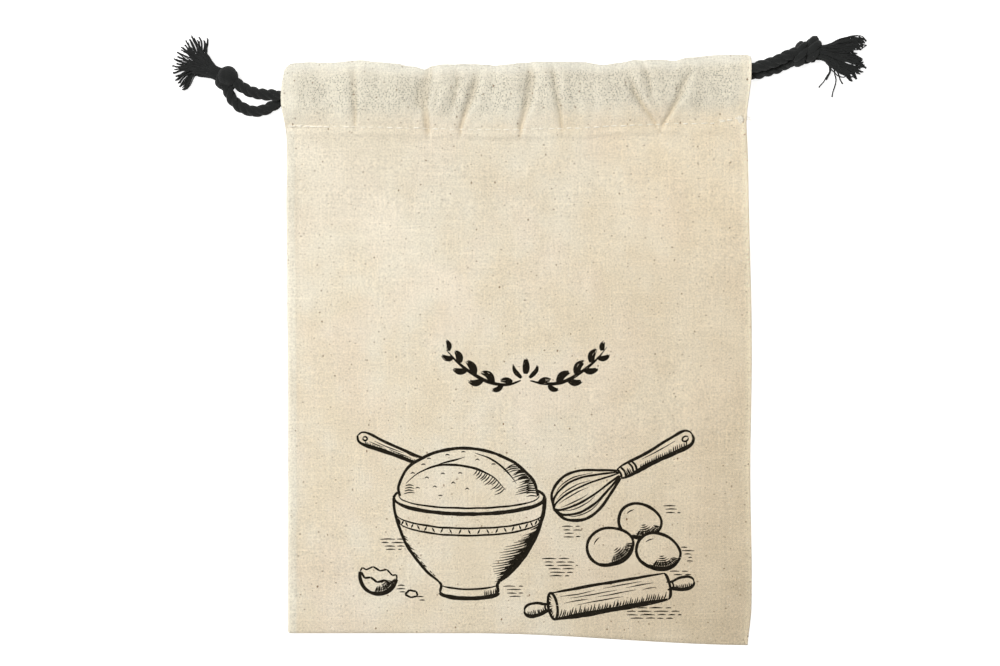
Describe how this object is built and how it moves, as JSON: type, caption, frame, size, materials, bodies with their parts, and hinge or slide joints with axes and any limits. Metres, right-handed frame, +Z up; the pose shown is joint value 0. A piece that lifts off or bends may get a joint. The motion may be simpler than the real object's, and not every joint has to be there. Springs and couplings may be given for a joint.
{
  "type": "cotton drawstring flour sack",
  "caption": "Flat empty cotton sack for flour, with a gathered hem at the mouth and black drawcords knotted and frayed at both ends.",
  "frame": {"origin": "on the surface that the sack lies on, under the middle of the sack's box, cords left out", "axes": "+Y from the bottom seam to the mouth, +Z up out of the printed side, +X to the right as the printed side is seen from above with the mouth at the top"},
  "size_m": [0.3037, 0.2665, 0.0111],
  "materials": {
    "calico": "unbleached plain-weave cotton, matt, with flecks and slubs",
    "print": "dry black ink on the cloth, matt",
    "stitching": "cream cotton sewing thread, matt",
    "black_cotton": "soft twisted cotton cord, matt"
  },
  "bodies": {
    "root": {"sack": "calico", "cord_left_upper": "black_cotton", "cord_left_lower": "black_cotton", "knot_left": "black_cotton", "tassel_left": "black_cotton", "cord_right_upper": "black_cotton", "cord_right_lower": "black_cotton", "knot_right": "black_cotton", "tassel_right": "black_cotton"}
  },
  "joints": []
}
